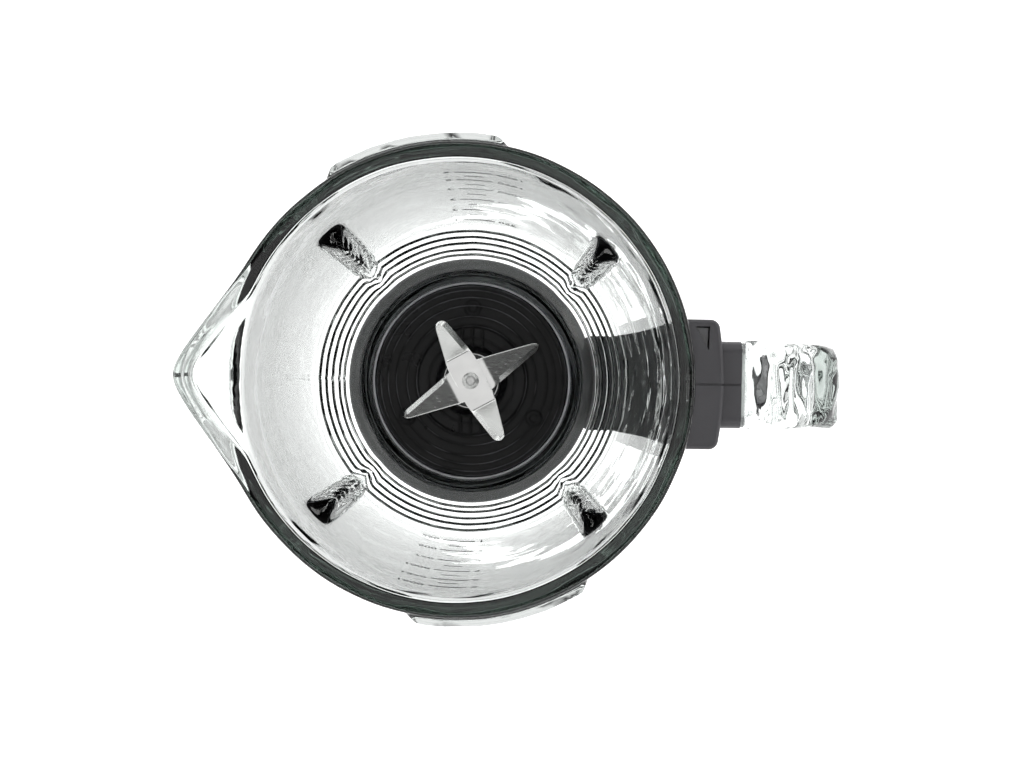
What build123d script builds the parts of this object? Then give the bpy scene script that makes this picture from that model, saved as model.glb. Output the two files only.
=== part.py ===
from build123d import *
import os
from math import radians, tan

# Glass jug of a countertop blender, standing on its screw collar.
# Origin: on the jug's axis, at the surface it stands on. +Z up, +X towards the handle.
# All sizes are in millimetres.

# Jug wall: (radius, height) stations of the outside, and its usual thickness
NECK_R, NECK_BORE_R = 46.0, 41.0
NECK_BOTTOM_Z, NECK_TOP_Z = 16.0, 31.4
STEP_RADII = (53.0, 54.5, 57.0, 59.5, 62.0)
STEP_HEIGHTS = (33.0, 36.0, 39.0, 43.0, 47.5)
STEP_LEAN, LAST_STEP_RISE = 0.45, 4.5
FUNNEL_STATIONS, NECK_BORE_TOP_Z = ((44.0, 33.0), (50.0, 38.5), (56.0, 46.0)), 29.0
WALL_STATIONS = ((64.0, 56.0), (66.1, 75.0), (68.0, 96.0), (69.4, 116.0), (70.7, 160.0), (71.0, 190.0))
WALL_THICKNESS = 4.3
BEAD_R, BEAD_BOTTOM_Z, RIM_Z = 72.0, 203.5, 214.0

# Spout
SPOUT_APEX_X, SPOUT_HALF_ANGLE, SPOUT_TIP_R = 86.0, 55.3, 6.0
CHANNEL_APEX_X, CHANNEL_HALF_ANGLE, CHANNEL_TIP_R = 80.0, 52.7, 4.0
SPOUT_START_Z, CHANNEL_START_Z = 190.0, 196.0
SPOUT_START_X, CHANNEL_START_X, SPOUT_START_HALF_ANGLE, SPOUT_START_TIP_R = 72.0, 66.5, 58.0, 12.0

# Lid-locking flanges and mixing ribs
FLANGE_R, FLANGE_Z, FLANGE_THICKNESS, FLANGE_SWEEP = 75.0, 206.0, 3.5, 45.0
FLANGE_STARTS = (79.0, 259.0)
RIB_ANGLES = (43.5, 133.5, 223.5, 313.5)
RIB_WIDTH, RIB_BOTTOM_Z, RIB_TOP_Z = 6.5, 36.0, 160.0
RIB_STATIONS = ((51.0, 36.0), (55.5, 58.0), (58.5, 90.0), (60.6, 130.0), (61.6, 152.0))

# Handle
HANDLE_TOP_Z, HANDLE_LOW_Z = 189.0, 60.0
GRIP_X, GRIP_WIDTH, GRIP_DEPTH, GRIP_BEND_R = 116.2, 27.0, 13.0, 13.0
ROOT_END_X, ROOT_WIDTH, ROOT_DEPTH = 89.2, 19.6, 12.0

# Housing over the handle's roots
HOUSING_X, HOUSING_HALF_WIDTH, HOUSING_CROWN = 79.9, 20.0, 1.9
HOUSING_BOTTOM_Z, HOUSING_TOP_Z, HOUSING_WALL = 24.0, 203.0, 1.8
HOUSING_GAP, SEAM_WIDTH, SEAM_DEPTH = 0.4, 0.7, 0.5
SLEEVE_END_X, SLEEVE_HALF_WIDTH, SLEEVE_HALF_HEIGHT = 87.6, 13.5, 10.5
HOUSING_SCREWS = ((76.5, 170.0), (76.5, 130.0), (76.5, 90.0), (74.0, 38.0))
SCREW_BLOCK_HALF, SCREW_PILOT_R, SCREW_HOLE_R, SCREW_HEAD_R = 3.2, 1.25, 1.5, 2.5

# Lid interlock
ROD_X, ROD_Y, ROD_R = 75.3, 15.2, 1.6
ROD_TOP_Z, ROD_SHELF_Z, SPRING_TOP_Z = 176.0, 150.0, 168.0
SPRING_R, SPRING_WIRE = 2.8, 0.8
SLOT = ((72.8, 17.8), (77.2, 17.8), (76.9, 10.5))
CAP_BOTTOM_Z, CAP_TOP_Z = 172.0, 200.0
FOOT_R, FOOT_Z = 4.0, 19.0
PRESS_GAP, STEM = 0.02, 2.0

# Blade carrier and screw collar
DISC_R, DISC_Z, SKIRT_WALL = 39.7, 26.0, 3.2
CARRIER_FLANGE_R, CARRIER_FLANGE_Z, CARRIER_FLANGE_TOP = 45.8, 11.0, 14.2
HUB_R, HUB_TOP_Z = 13.0, 32.0
BOSS_CIRCLE_R, BOSS_R, BOSS_ANGLES = 30.0, 3.5, (90.0, 210.0, 330.0)
PLATE_R, PLATE_THICKNESS = 36.2, 2.0
COLLAR_R, COLLAR_BORE_R, COLLAR_TOP_Z = 52.5, 46.4, 31.0
COLLAR_LEDGE_R, COLLAR_LEDGE_Z = 38.5, 5.0
FOOT_RING_Z, FOOT_RING_R, SKIRT_BORE_R = 1.2, 49.5, 46.5
SPIGOT_R, SPIGOT_TOP_Z = 50.5, 13.0
FLUTES, FLUTE_BOTTOM_Z, FLUTE_TOP_Z = 24, 16.0, 28.0

# Bearing, spindle and blades
BEARING_R, BEARING_BOTTOM_Z, BEARING_TOP_Z = 9.0, 13.5, 35.0
BUSH_R, SHAFT_R, RUNNING_GAP = 6.5, 4.0, 0.04
SEAL_R, SEAL_Z = 7.5, 31.0
CAP_RIM_R, CAP_CUP_R, CAP_RIM_Z = 10.8, 9.4, 34.1
CLIP_Z, CLIP_TOP_Z, GROOVE_R, CLIP_R, WASHER_R = 11.2, 12.3, 3.4, 6.0, 7.0
SHAFT_BOTTOM_Z, SHOULDER_Z, SHOULDER_TOP_Z, SHOULDER_R = 6.8, 37.5, 39.5, 6.5
RIVET_R, RIVET_HEAD_R, RIVET_HEAD_HEIGHT = 2.0, 3.1, 1.7
SPACER_THICKNESS, BLADE_THICKNESS = 0.8, 1.5
UPPER_BLADE_ANGLE, UPPER_FOLD, UPPER_BEND, UPPER_WING = 118.8, 11.4, 40.0, 19.0
LOWER_BLADE_ANGLE, LOWER_FOLD, LOWER_BEND, LOWER_TIP = 28.5, 8.0, 17.0, 31.0
WING_SHOULDER = 0.86
COUPLING_R, COUPLING_BOTTOM_Z, COUPLING_TOP_Z = 16.0, 1.6, 10.4
SOCKET_R, SOCKET_DEPTH, SOCKET_LOBES, LOBE_R, NUT_R = 8.5, 4.6, 6, 2.0, 6.2


def section(points):
    """A face in the XZ plane from (radius, height) points."""
    return make_face(Polyline(*[(r, 0, z) for r, z in points], close=True))


def turned(points):
    """A solid of revolution about Z from (radius, height) points."""
    return revolve(section(points), Axis.Z)


def tube(outer, inner, z0, z1):
    """A straight ring about Z."""
    return turned([(inner, z0), (outer, z0), (outer, z1), (inner, z1)])


def rod_along_y(x, z, y0, y1, r):
    """A cylinder along Y between y0 and y1."""
    return Pos(x, (y0 + y1) / 2, z) * Rot(90, 0, 0) * Cylinder(r, abs(y1 - y0))


def block(x0, x1, y0, y1, z0, z1):
    """A box between two corners."""
    size = (x1 - x0, y1 - y0, z1 - z0)
    return Pos((x0 + x1) / 2, (y0 + y1) / 2, (z0 + z1) / 2) * Box(*size)


def wall_solid(offset):
    """The jug's tapered wall as a filled solid, grown or shrunk by offset."""
    stations = [(r + offset, 0, z) for r, z in WALL_STATIONS]
    top = RIM_Z + 2
    edges = [
        Spline(*stations),
        Polyline(stations[-1], (stations[-1][0], 0, top), (0, 0, top), (0, 0, stations[0][2]), stations[0]),
    ]
    return revolve(make_face(edges), Axis.Z)


def stepped_base():
    """The outside of the glass below the wall: neck, shoulder and round steps."""
    points = [(0, NECK_BOTTOM_Z), (NECK_R, NECK_BOTTOM_Z), (NECK_R, NECK_TOP_Z)]
    next_radii = (*STEP_RADII[1:], WALL_STATIONS[0][0])
    next_heights = (*STEP_HEIGHTS[1:], STEP_HEIGHTS[-1] + LAST_STEP_RISE)
    for r, z, next_r, next_z in zip(STEP_RADII, STEP_HEIGHTS, next_radii, next_heights):
        points += [(r, z), (r + STEP_LEAN * (next_r - r), next_z)]
    points += [WALL_STATIONS[0], (0, WALL_STATIONS[0][1])]
    return turned(points)


def inner_base():
    """The space inside the glass below the wall: bore, funnel floor and corner."""
    top_r, top_z = WALL_STATIONS[0][0] - WALL_THICKNESS, WALL_STATIONS[0][1]
    points = [(0, NECK_BOTTOM_Z - 1), (NECK_BORE_R, NECK_BOTTOM_Z - 1), (NECK_BORE_R, NECK_BORE_TOP_Z)]
    points += [*FUNNEL_STATIONS, (top_r, top_z), (0, top_z)]
    return turned(points)


def vee(apex_x, half_angle, tip_r, back_x, z):
    """A V-shaped face pointing along -X with a rounded tip."""
    half = (apex_x - back_x) * tan(radians(half_angle))
    face = make_face(Polyline((-back_x, half, z), (-apex_x, 0, z), (-back_x, -half, z), close=True))
    tip = face.vertices().sort_by(Axis.X)[0]
    return fillet(tip, tip_r)


def spout_solid():
    """The outside of the pouring spout, growing out of the wall."""
    low = vee(SPOUT_START_X, SPOUT_START_HALF_ANGLE, SPOUT_START_TIP_R, 58.0, SPOUT_START_Z)
    high = vee(SPOUT_APEX_X, SPOUT_HALF_ANGLE, SPOUT_TIP_R, 58.0, RIM_Z)
    return loft([low, high])


def channel_solid():
    """The pouring channel inside the spout, open at the top."""
    low = vee(CHANNEL_START_X, SPOUT_START_HALF_ANGLE, CHANNEL_TIP_R, 55.0, CHANNEL_START_Z)
    high = vee(CHANNEL_APEX_X, CHANNEL_HALF_ANGLE, CHANNEL_TIP_R, 55.0, RIM_Z + 1)
    return loft([low, high])


def inner_solid():
    """Everything that is open inside the jug."""
    return wall_solid(-WALL_THICKNESS) + inner_base() + channel_solid()


def mixing_rib(angle, inside):
    """One rib standing in from the wall, cut to the wall's inner surface."""
    past_wall = WALL_STATIONS[-1][0] - 1
    face = section([*RIB_STATIONS, (64, RIB_TOP_Z), (past_wall, RIB_TOP_Z), (past_wall, RIB_BOTTOM_Z)])
    prism = extrude(face, RIB_WIDTH / 2, dir=(0, 1, 0), both=True)
    return (Rot(0, 0, angle) * prism) & inside


def lid_flange(start):
    """One thin ledge outside the rim that the lid locks under."""
    face = section([(70, FLANGE_Z), (FLANGE_R, FLANGE_Z + 1), (FLANGE_R, FLANGE_Z + FLANGE_THICKNESS),
                    (70, FLANGE_Z + FLANGE_THICKNESS)])
    return Rot(0, 0, start) * revolve(face, Axis.Z, revolution_arc=FLANGE_SWEEP)


def handle_loop():
    """The grip and its two arms, outside the housing."""
    path = FilletPolyline((ROOT_END_X, 0, HANDLE_TOP_Z), (GRIP_X, 0, HANDLE_TOP_Z),
                          (GRIP_X, 0, HANDLE_LOW_Z), (ROOT_END_X, 0, HANDLE_LOW_Z), radius=GRIP_BEND_R)
    start = Plane(origin=(ROOT_END_X, 0, HANDLE_TOP_Z), x_dir=(0, 1, 0), z_dir=(1, 0, 0))
    profile = start * RectangleRounded(GRIP_WIDTH, GRIP_DEPTH, 4.5)
    return sweep(profile, path)


def handle_roots():
    """The two narrower arms that run from the wall through the housing."""
    roots = []
    for z, x in ((HANDLE_TOP_Z, 67.0), (HANDLE_LOW_Z, 60.0)):
        half = ROOT_WIDTH / 2
        root = block(x, ROOT_END_X + 1, -half, half, z - ROOT_DEPTH / 2, z + ROOT_DEPTH / 2)
        roots.append(fillet(root.edges().filter_by(Axis.X), 3.0))
    return roots


def jug_glass():
    """The jug in one piece of glass: wall, base, spout, ribs, flanges and handle."""
    outside = wall_solid(0) & block(-90, 90, -90, 90, 0, RIM_Z)
    bead = Pos(0, 0, (BEAD_BOTTOM_Z + RIM_Z) / 2) * Cylinder(BEAD_R, RIM_Z - BEAD_BOTTOM_Z)
    jug = outside + stepped_base() + bead + spout_solid()
    for start in FLANGE_STARTS:
        jug += lid_flange(start)
    for root in handle_roots():
        jug += root
    inside = inner_solid()
    jug = jug - inside
    for angle in RIB_ANGLES:
        jug += mixing_rib(angle, inside)
    return jug + handle_loop()


def housing_outline(inset):
    """The housing seen from above, with a slightly crowned outer face."""
    half = HOUSING_HALF_WIDTH - inset
    x = HOUSING_X - inset
    crown = x + HOUSING_CROWN
    lines = [
        Polyline((x, -half, 0), (50, -half, 0), (50, half, 0), (x, half, 0)),
        ThreePointArc((x, half, 0), (crown, 0, 0), (x, -half, 0)),
    ]
    face = make_face(lines)
    corners = face.vertices().sort_by(Axis.X)[-2:]
    return fillet(corners, max(3.0 - inset, 1.0))


def jug_clearance(offset):
    """A solid that holds the glass and the collar with room round them."""
    low_r = COLLAR_R + 1.1 + offset - HOUSING_GAP
    points = [(0, 10), (low_r, 10), (low_r, 33.5), (55.3 + offset, 35.0), (63.1 + offset, 47.0)]
    points += [(64.6 + offset, 56.0), (0, 56.0)]
    wall = wall_solid(offset)
    return turned(points) + wall


def seam_groove():
    """The shallow groove along the split, on the outer face, the top and the sleeves."""
    half, deep = SEAM_WIDTH / 2, SEAM_DEPTH
    face_x = HOUSING_X + HOUSING_CROWN - deep
    groove = block(face_x, face_x + 3, -half, half, HOUSING_BOTTOM_Z, HOUSING_TOP_Z)
    groove += block(60, face_x + 3, -half, half, HOUSING_TOP_Z - deep, HOUSING_TOP_Z + 1)
    for z in (HANDLE_TOP_Z, HANDLE_LOW_Z):
        for edge_z in (z - SLEEVE_HALF_HEIGHT, z + SLEEVE_HALF_HEIGHT):
            groove += block(face_x, SLEEVE_END_X + 1, -half, half, edge_z - deep, edge_z + deep)
        groove -= block(face_x, SLEEVE_END_X + 1, -half, half,
                        z - SLEEVE_HALF_HEIGHT + deep, z + SLEEVE_HALF_HEIGHT - deep)
    return groove


def housing_shell():
    """The closed hollow housing before it is split into halves."""
    height = HOUSING_TOP_Z - HOUSING_BOTTOM_Z
    body = Pos(0, 0, HOUSING_BOTTOM_Z) * extrude(housing_outline(0), height)
    body = body - jug_clearance(HOUSING_GAP)
    top = body.faces().sort_by(Axis.Z)[-1]
    body = fillet(top.edges().sort_by(Axis.X)[-1:], 1.5)
    cavity = Pos(0, 0, HOUSING_BOTTOM_Z + HOUSING_WALL) * extrude(
        housing_outline(HOUSING_WALL), height - 2 * HOUSING_WALL)
    cavity = cavity - jug_clearance(HOUSING_GAP + HOUSING_WALL)
    shell = body - cavity
    for z in (HANDLE_TOP_Z, HANDLE_LOW_Z):
        sleeve = block(78.5, SLEEVE_END_X, -SLEEVE_HALF_WIDTH, SLEEVE_HALF_WIDTH,
                       z - SLEEVE_HALF_HEIGHT, z + SLEEVE_HALF_HEIGHT)
        shell += fillet(sleeve.edges().filter_by(Axis.X), 4.0)
        half = ROOT_WIDTH / 2 + 0.3
        deep = ROOT_DEPTH / 2 + 0.3
        shell -= block(52, SLEEVE_END_X + 1, -half, half, z - deep, z + deep)
    slot_face = make_face(Polyline(*[(x, y, HOUSING_TOP_Z - 4) for x, y in SLOT], close=True))
    shell -= extrude(slot_face, 6, dir=(0, 0, 1))
    return shell - seam_groove()


def housing_half(shell, side):
    """One clamshell half, with its screw blocks and, on the left, the rod's guides."""
    half = shell & block(40, 100, 0, 30, 0, 250) if side > 0 else shell & block(40, 100, -30, 0, 0, 250)
    for x, z in HOUSING_SCREWS:
        if side > 0:
            half += block(x - 6, HOUSING_X + 1.0, 0, 10, z - SCREW_BLOCK_HALF, z + SCREW_BLOCK_HALF)
            half -= rod_along_y(x, z, -1, 8.5, SCREW_PILOT_R)
        else:
            half += block(x - 6, HOUSING_X - 0.5, -18.5, 0, z - SCREW_BLOCK_HALF, z + SCREW_BLOCK_HALF)
            half -= rod_along_y(x, z, -18.5, 1, SCREW_HOLE_R)
            half -= rod_along_y(x, z, -21, -17.9, SCREW_HEAD_R + 0.2)
    half -= jug_clearance(HOUSING_GAP)
    if side > 0:
        for z in (ROD_SHELF_Z - 2, 105.0):
            shelf = block(72.5, 79.5, 11.0, 18.6, z, z + 2) - jug_clearance(HOUSING_GAP)
            half += shelf
        guide = Pos(ROD_X, ROD_Y, 90) * Cylinder(ROD_R + RUNNING_GAP, 150)
        half -= guide
    return half


def housing_screws():
    """Four self-tapping screws that clamp the halves."""
    screws = []
    for x, z in HOUSING_SCREWS:
        head = rod_along_y(x, z, -19.6, -17.9, SCREW_HEAD_R)
        shank = rod_along_y(x, z, -18, 8, SCREW_PILOT_R - 0.05)
        recess = rod_along_y(x, z, -19.8, -18.8, 0.9)
        screws.append(head + shank - recess)
    return Compound(children=screws)


def handle_band(z):
    """A clear band between the housing's sleeve and the shoulder of the handle."""
    outer = block(SLEEVE_END_X, ROOT_END_X, -13.2, 13.2, z - 6.3, z + 6.3)
    outer = fillet(outer.edges().filter_by(Axis.X), 3.5)
    half, deep = ROOT_WIDTH / 2 + 0.1, ROOT_DEPTH / 2 + 0.1
    return outer - block(SLEEVE_END_X - 1, ROOT_END_X + 1, -half, half, z - deep, z + deep)


def interlock_pushrod():
    """The rod that carries the lid tab's press down the handle side."""
    rod = Cylinder(ROD_R, ROD_TOP_Z - FOOT_Z - STEM, align=(Align.CENTER, Align.CENTER, Align.MIN))
    rod = Pos(ROD_X, ROD_Y, FOOT_Z + STEM) * rod
    flange = Pos(ROD_X, ROD_Y, SPRING_TOP_Z + 1) * Cylinder(2.8, 2)
    return rod + flange


def interlock_cap():
    """The ramped head below the slot that the lid's tab presses."""
    x_mid = sum(x for x, y in SLOT) / 3
    y_mid = sum(y for x, y in SLOT) / 3
    inner = [(x_mid + 0.86 * (x - x_mid), y_mid + 0.86 * (y - y_mid), CAP_BOTTOM_Z) for x, y in SLOT]
    head = extrude(make_face(Polyline(*inner, close=True)), CAP_TOP_Z - CAP_BOTTOM_Z, dir=(0, 0, 1))
    ramp = Plane(origin=(0, 14.2, CAP_TOP_Z - 2.5), z_dir=(0, -0.5, 0.866)) * Box(
        200, 40, 10, align=(Align.CENTER, Align.CENTER, Align.MIN))
    collar = Pos(ROD_X, ROD_Y, CAP_BOTTOM_Z + 3) * Cylinder(2.6, 6)
    bore = Pos(ROD_X, ROD_Y, CAP_BOTTOM_Z) * Cylinder(ROD_R + PRESS_GAP, 2 * (ROD_TOP_Z - CAP_BOTTOM_Z))
    return head - ramp + collar - bore


def interlock_foot():
    """The button under the housing that presses the switch in a motor base."""
    foot = Pos(ROD_X, ROD_Y, (FOOT_Z + HOUSING_BOTTOM_Z) / 2 - 0.05) * Cylinder(
        FOOT_R, HOUSING_BOTTOM_Z - FOOT_Z - 0.1)
    foot = fillet(foot.edges().sort_by(Axis.Z)[:1], 1.5)
    bore = Pos(ROD_X, ROD_Y, FOOT_Z + STEM + 5) * Cylinder(ROD_R + PRESS_GAP, 10)
    return foot - bore


def interlock_spring():
    """The return spring's envelope round the rod."""
    return Pos(ROD_X, ROD_Y, 0) * tube(SPRING_R, SPRING_R - SPRING_WIRE, ROD_SHELF_Z, SPRING_TOP_Z)


def blade_carrier():
    """The black disc that closes the bottom of the jug and holds the bearing."""
    skirt_r = DISC_R - SKIRT_WALL
    points = [(skirt_r, CARRIER_FLANGE_Z), (CARRIER_FLANGE_R, CARRIER_FLANGE_Z)]
    points += [(CARRIER_FLANGE_R, CARRIER_FLANGE_TOP), (DISC_R, CARRIER_FLANGE_TOP), (DISC_R, DISC_Z - 1)]
    points += [(DISC_R - 1, DISC_Z), (HUB_R + 1.5, DISC_Z), (HUB_R - 1, HUB_TOP_Z)]
    points += [(BEARING_R, HUB_TOP_Z), (BEARING_R, BEARING_BOTTOM_Z), (HUB_R, BEARING_BOTTOM_Z)]
    points += [(HUB_R, DISC_Z - 4), (skirt_r, DISC_Z - 4)]
    carrier = turned(points) + tube(22.7, 21.3, DISC_Z - 1, DISC_Z + 0.5)
    plate_top = CARRIER_FLANGE_Z + PLATE_THICKNESS
    for angle in BOSS_ANGLES:
        at = Rot(0, 0, angle) * Pos(BOSS_CIRCLE_R, 0, 0)
        carrier += at * tube(BOSS_R, 1.25, plate_top, DISC_Z - 6)
        carrier += at * Pos(0, 0, DISC_Z - 4.5) * Cylinder(BOSS_R, 3)
        carrier += at * Pos(0, 0, DISC_Z) * Cylinder(3.2, 0.8)
    return carrier


def carrier_base_plate():
    """The plate that closes the carrier from below."""
    z = CARRIER_FLANGE_Z
    plate = tube(PLATE_R, HUB_R + 0.3, z, z + PLATE_THICKNESS)
    for angle in BOSS_ANGLES:
        plate -= Rot(0, 0, angle) * Pos(BOSS_CIRCLE_R, 0, z) * Cylinder(1.5, 10)
    return plate


def carrier_screws():
    """Three screws that hold the base plate."""
    screws = []
    z = CARRIER_FLANGE_Z
    for angle in BOSS_ANGLES:
        screw = tube(2.6, 0.8, z - 1.4, z) + Pos(0, 0, z + 3.4) * Cylinder(1.2, 7.6)
        screws.append(Rot(0, 0, angle) * Pos(BOSS_CIRCLE_R, 0, 0) * screw)
    return Compound(children=screws)


def screw_collar():
    """The collar that screws on the glass neck and clamps the carrier."""
    ledge_top = CARRIER_FLANGE_Z - 0.1
    points = [(COLLAR_BORE_R, COLLAR_TOP_Z), (COLLAR_R - 1.2, COLLAR_TOP_Z), (COLLAR_R, COLLAR_TOP_Z - 1.2)]
    points += [(COLLAR_R, SPIGOT_TOP_Z), (SPIGOT_R, SPIGOT_TOP_Z), (SPIGOT_R, FOOT_RING_Z)]
    points += [(SKIRT_BORE_R, FOOT_RING_Z), (SKIRT_BORE_R, COLLAR_LEDGE_Z)]
    points += [(COLLAR_LEDGE_R, COLLAR_LEDGE_Z), (COLLAR_LEDGE_R, ledge_top), (COLLAR_BORE_R, ledge_top)]
    collar = turned(points)
    height = FLUTE_TOP_Z - FLUTE_BOTTOM_Z
    flute = Pos(COLLAR_R + 1.2, 0, (FLUTE_TOP_Z + FLUTE_BOTTOM_Z) / 2) * Cylinder(2.2, height)
    for i in range(FLUTES):
        collar -= Rot(0, 0, 360 * i / FLUTES) * flute
    return collar


def bearing_housing():
    """The metal sleeve that holds both bushes and the shaft seal."""
    points = [(BUSH_R, BEARING_BOTTOM_Z), (BEARING_R, BEARING_BOTTOM_Z), (BEARING_R, HUB_TOP_Z)]
    points += [(BEARING_R + 2.2, HUB_TOP_Z), (BEARING_R + 2.2, HUB_TOP_Z + 1.4), (BEARING_R, HUB_TOP_Z + 1.4)]
    points += [(BEARING_R, BEARING_TOP_Z), (SEAL_R, BEARING_TOP_Z), (SEAL_R, SEAL_Z), (BUSH_R, SEAL_Z)]
    return turned(points)


def bush(z0, z1):
    """A plain bearing bush."""
    return tube(BUSH_R, SHAFT_R + RUNNING_GAP, z0, z1)


def seal_cap():
    """The cup that turns with the blades and throws liquid off the seal."""
    floor = SHOULDER_Z - 1.3
    points = [(SHAFT_R, floor), (CAP_CUP_R, floor), (CAP_CUP_R, CAP_RIM_Z), (CAP_RIM_R, CAP_RIM_Z)]
    points += [(CAP_RIM_R, floor - 0.1), (CAP_CUP_R, SHOULDER_Z), (SHAFT_R, SHOULDER_Z)]
    return turned(points)


def spindle():
    """The blade shaft with its shoulder, clip groove and rivet hole."""
    points = [(0, SHAFT_BOTTOM_Z), (SHAFT_R, SHAFT_BOTTOM_Z), (SHAFT_R, CLIP_Z), (GROOVE_R, CLIP_Z)]
    points += [(GROOVE_R, CLIP_TOP_Z), (SHAFT_R, CLIP_TOP_Z), (SHAFT_R, SHOULDER_Z)]
    points += [(SHOULDER_R, SHOULDER_Z), (SHOULDER_R, SHOULDER_TOP_Z), (RIVET_R, SHOULDER_TOP_Z)]
    points += [(RIVET_R, SHOULDER_TOP_Z - 6), (0, SHOULDER_TOP_Z - 6)]
    return turned(points)


def blade_wing(fold, length, root_up, root_down, tip_up, tip_down, bend, z0):
    """One wing, flat outside its fold line and turned up (or down) by bend about that line."""
    shoulder = WING_SHOULDER * length
    face = make_face(Polyline((0, -root_down, 0), (shoulder, -tip_down, 0), (length, 0, 0),
                              (shoulder, tip_up, 0), (0, root_up, 0), close=True))
    face = fillet(face.vertices().sort_by(Axis.X)[-1:], 1.5)
    wing = extrude(face, BLADE_THICKNESS, dir=(0, 0, 1))
    return Pos(fold, 0, z0) * Rot(0, -bend, 0) * wing


def blade(angle, fold, half_width, wing_args, z0):
    """A two-winged blade with a flat middle and a hole for the rivet."""
    middle = Pos(0, 0, z0 + BLADE_THICKNESS / 2) * Box(2 * fold + 0.4, 2 * half_width, BLADE_THICKNESS)
    wing = blade_wing(fold, *wing_args, z0)
    body = middle + wing + Rot(0, 0, 180) * wing - Pos(0, 0, z0) * Cylinder(RIVET_R + PRESS_GAP, 10)
    return Rot(0, 0, angle) * body


def lower_blade(z0):
    """The blade whose wings slope down."""
    args = (LOWER_TIP - LOWER_FOLD, 6.5, 7.0, 2.9, 2.4, -LOWER_BEND)
    return blade(LOWER_BLADE_ANGLE, LOWER_FOLD, 6.4, args, z0)


def upper_blade(z0):
    """The blade whose wings stand up."""
    args = (UPPER_WING, 6.0, 6.0, 2.3, 2.3, UPPER_BEND)
    return blade(UPPER_BLADE_ANGLE, UPPER_FOLD, 6.0, args, z0)


def blade_rivet(z0):
    """The rivet that holds both blades on the spindle."""
    shank = tube(RIVET_R - PRESS_GAP, 0, SHOULDER_TOP_Z - 5.8, z0)
    head = tube(RIVET_HEAD_R, 0, z0, z0 + RIVET_HEAD_HEIGHT)
    head = fillet(head.edges().sort_by(Axis.Z)[-1:], 1.2)
    return shank + head


def coupling_insert():
    """The threaded metal nut moulded into the drive coupling."""
    nut = extrude(Pos(0, 0, SHAFT_BOTTOM_Z) * RegularPolygon(NUT_R, 6), COUPLING_TOP_Z - SHAFT_BOTTOM_Z)
    return nut - Pos(0, 0, 8) * Cylinder(SHAFT_R, 10)


def drive_coupling():
    """The star-socket coupling that a motor's drive enters from below."""
    body = tube(COUPLING_R, 0, COUPLING_BOTTOM_Z, COUPLING_TOP_Z)
    body = chamfer(body.edges().sort_by(Axis.Z)[:1], 1.0)
    floor = COUPLING_BOTTOM_Z + SOCKET_DEPTH
    middle = COUPLING_BOTTOM_Z + SOCKET_DEPTH / 2 - 0.5
    socket = Pos(0, 0, middle) * Cylinder(SOCKET_R, SOCKET_DEPTH + 1)
    for i in range(SOCKET_LOBES):
        lobe = Pos(SOCKET_R + 0.8, 0, middle) * Cylinder(LOBE_R, SOCKET_DEPTH + 1)
        socket += Rot(0, 0, 360 * i / SOCKET_LOBES) * lobe
    nut_hole = extrude(Pos(0, 0, floor - 0.5) * RegularPolygon(NUT_R, 6), COUPLING_TOP_Z - floor + 1)
    return body - socket - nut_hole


def save(name, shape):
    """Writes one named sub-part."""
    export_step(shape, f"parts/{name}.step")


def build():
    """Makes every sub-part and writes it."""
    os.makedirs("parts", exist_ok=True)
    shell = housing_shell()
    blade_z = SHOULDER_TOP_Z + SPACER_THICKNESS
    upper_z = blade_z + BLADE_THICKNESS
    save("jug_glass", jug_glass())
    save("housing_half_left", housing_half(shell, 1))
    save("housing_half_right", housing_half(shell, -1))
    save("housing_screws", housing_screws())
    save("handle_band_upper", handle_band(HANDLE_TOP_Z))
    save("handle_band_lower", handle_band(HANDLE_LOW_Z))
    save("interlock_pushrod", interlock_pushrod())
    save("interlock_cap", interlock_cap())
    save("interlock_foot", interlock_foot())
    save("interlock_spring", interlock_spring())
    save("blade_carrier", blade_carrier())
    save("carrier_base_plate", carrier_base_plate())
    save("carrier_screws", carrier_screws())
    save("jug_seal", tube(CARRIER_FLANGE_R, NECK_BORE_R + 0.3, CARRIER_FLANGE_TOP, NECK_BOTTOM_Z - 0.1))
    save("screw_collar", screw_collar())
    save("collar_foot_ring", tube(FOOT_RING_R, SKIRT_BORE_R, 0, FOOT_RING_Z))
    save("bearing_housing", bearing_housing())
    save("upper_bush", bush(24.0, SEAL_Z))
    save("lower_bush", bush(BEARING_BOTTOM_Z, 19.5))
    save("shaft_seal", tube(SEAL_R, SHAFT_R + RUNNING_GAP, SEAL_Z, 34.6))
    save("seal_cap", seal_cap())
    save("spindle", spindle())
    save("blade_spacer", tube(5.5, RIVET_R + PRESS_GAP, SHOULDER_TOP_Z, blade_z))
    save("lower_blade", lower_blade(blade_z))
    save("upper_blade", upper_blade(upper_z))
    save("blade_rivet", blade_rivet(upper_z + BLADE_THICKNESS))
    save("thrust_washer", tube(WASHER_R, SHAFT_R + PRESS_GAP, CLIP_TOP_Z, BEARING_BOTTOM_Z - 0.1))
    save("retaining_clip", tube(CLIP_R, GROOVE_R, CLIP_Z, CLIP_TOP_Z))
    save("drive_coupling", drive_coupling())
    save("coupling_insert", coupling_insert())


build()
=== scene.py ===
from math import cos, pi, radians, sin

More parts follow.
